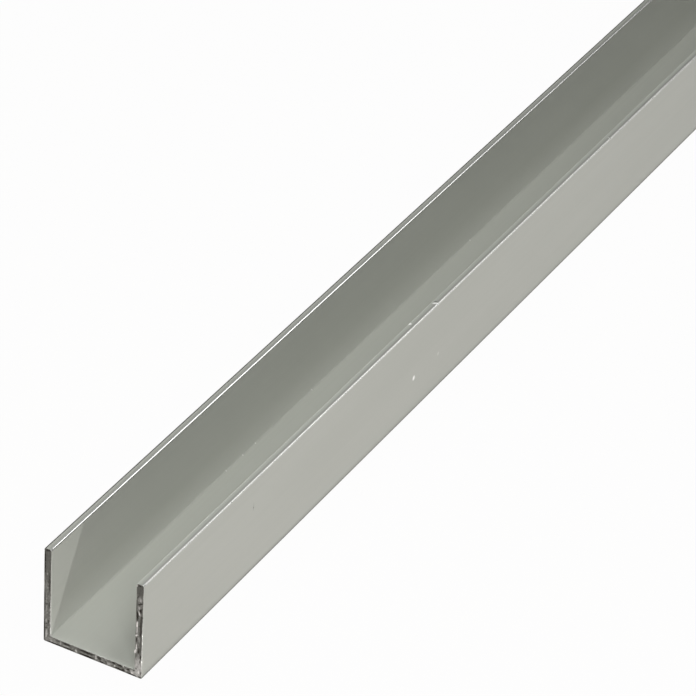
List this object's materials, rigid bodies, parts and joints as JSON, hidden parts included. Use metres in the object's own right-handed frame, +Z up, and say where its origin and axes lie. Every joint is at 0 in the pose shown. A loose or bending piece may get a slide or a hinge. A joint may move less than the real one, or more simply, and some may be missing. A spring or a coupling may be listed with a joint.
{
  "type": "u-channel",
  "caption": "Straight satin aluminium U-channel bar with equal flanges, an open slot along its whole length and sawn square ends, for capping, edging or guiding panels.",
  "frame": {"origin": "under the middle of the web's back, which lies on the floor", "axes": "+X across the section, +Y along the bar, +Z up out of the open side of the slot"},
  "size_m": [0.02, 1, 0.02],
  "materials": {
    "anodised_aluminium": "satin natural anodised, with fine die lines along the bar and bare sawn ends"
  },
  "bodies": {
    "root": {"u_channel": "anodised_aluminium"}
  },
  "joints": []
}
